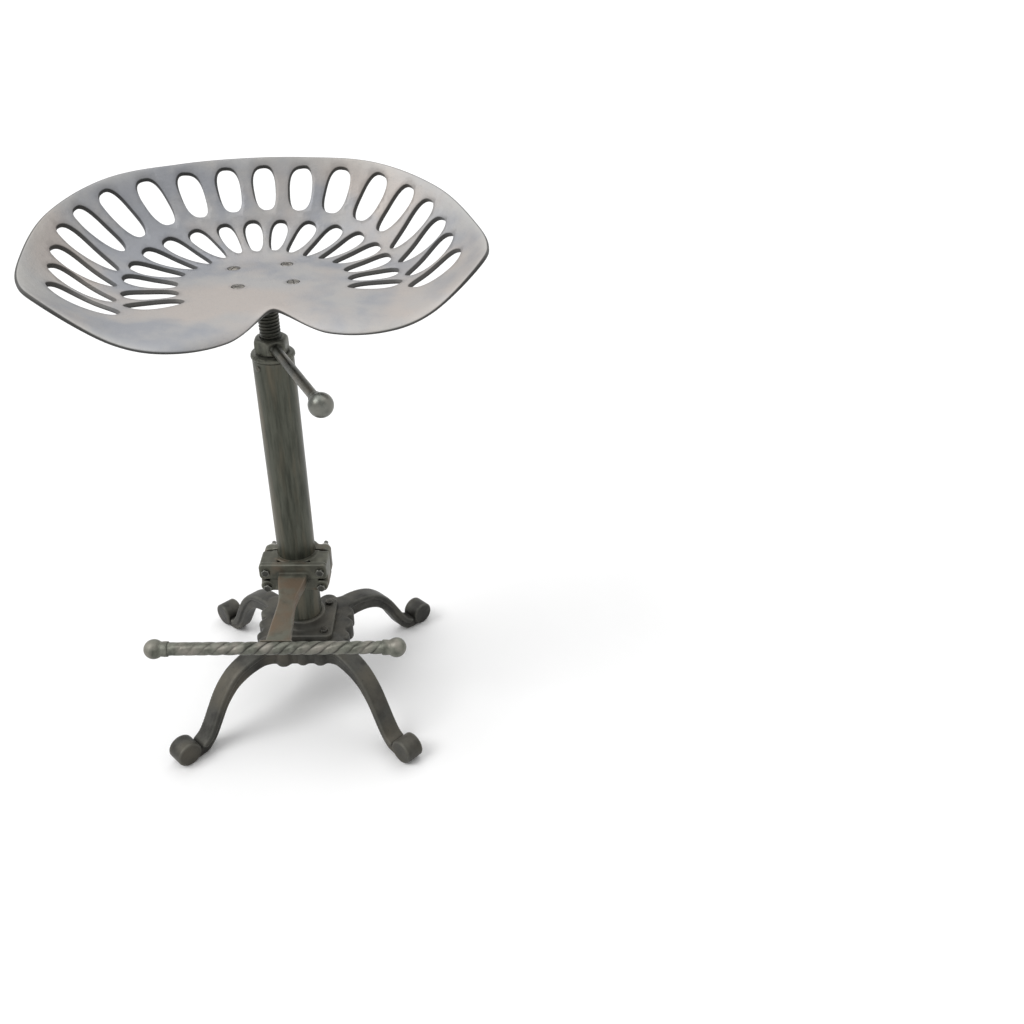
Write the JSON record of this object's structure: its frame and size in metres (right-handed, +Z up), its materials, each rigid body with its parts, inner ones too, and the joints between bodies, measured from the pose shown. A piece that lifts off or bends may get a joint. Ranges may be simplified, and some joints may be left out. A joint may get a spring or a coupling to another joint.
{
  "type": "tractor seat stool",
  "caption": "Industrial counter stool: slotted bucket tractor seat on a threaded spindle with a lever lock, pipe post, clamped footrest bar and a cast four-toed base.",
  "frame": {"origin": "on the floor, on the axis of the post", "axes": "+Z up along the post, -Y towards the footrest, which is the front; the seat is left turned a little from the footrest"},
  "size_m": [0.4691, 0.3546, 0.7022],
  "materials": {
    "base_iron": "dark waxed casting",
    "post_steel": "dark streaked patina",
    "weld_steel": "dark weld bead",
    "bolt_steel": "dull dark steel",
    "lever_steel": "dull grey steel",
    "spindle_steel": "oiled thread",
    "guide_plastic": "plain",
    "plate_steel": "dark patina",
    "seat_steel": "light patinated metal",
    "screw_steel": "dull steel",
    "arm_iron": "dark casting, brownish",
    "bar_iron": "grey-green wrought bar"
  },
  "bodies": {
    "stand": {"base_casting": "base_iron", "post_flange": "base_iron", "flange_bolts": "bolt_steel", "flange_nuts": "bolt_steel", "post_tube": "post_steel", "thread_bush": "weld_steel", "bush_rivet": "bolt_steel"},
    "lever": {"lever_nut": "lever_steel", "lever_rod": "lever_steel", "lever_collar": "lever_steel", "lever_ball": "lever_steel"},
    "guide": {"spindle_guide": "guide_plastic"},
    "seat": {"spindle": "spindle_steel", "spindle_stop": "bolt_steel", "seat_plate": "plate_steel", "seat_pan": "seat_steel", "seat_screws": "screw_steel", "seat_washers": "bolt_steel", "seat_nuts": "bolt_steel"},
    "footrest": {"footrest_arm": "arm_iron", "clamp_rear_jaw": "arm_iron", "clamp_bolts": "bolt_steel", "clamp_washers": "bolt_steel", "clamp_nuts": "bolt_steel", "footrest_bar": "bar_iron", "footrest_ball_left": "bar_iron", "footrest_ball_right": "bar_iron"}
  },
  "joints": [
    {"name": "seat_lift", "type": "slide", "parent": "stand", "child": "guide", "axis": [0, 0, 1], "range_m": [-0.0441, 0.0841]},
    {"name": "seat_turn", "type": "hinge", "parent": "guide", "child": "seat", "pos_m": [0, 0, 0.5], "axis": [0, 0, 1], "range_deg": [-3960, 7560]},
    {"name": "lever_turn", "type": "hinge", "parent": "stand", "child": "lever", "pos_m": [0, 0, 0.522], "axis": [0, 0, 1], "range_deg": [0, 180]},
    {"name": "footrest_slide", "type": "slide", "parent": "stand", "child": "footrest", "axis": [0, 0, 1], "range_m": [-0.04, 0.2]}
  ],
  "couplings": [
    {"joint": "seat_lift", "follows": "seat_turn", "m_per_rad": 0.00063662}
  ]
}
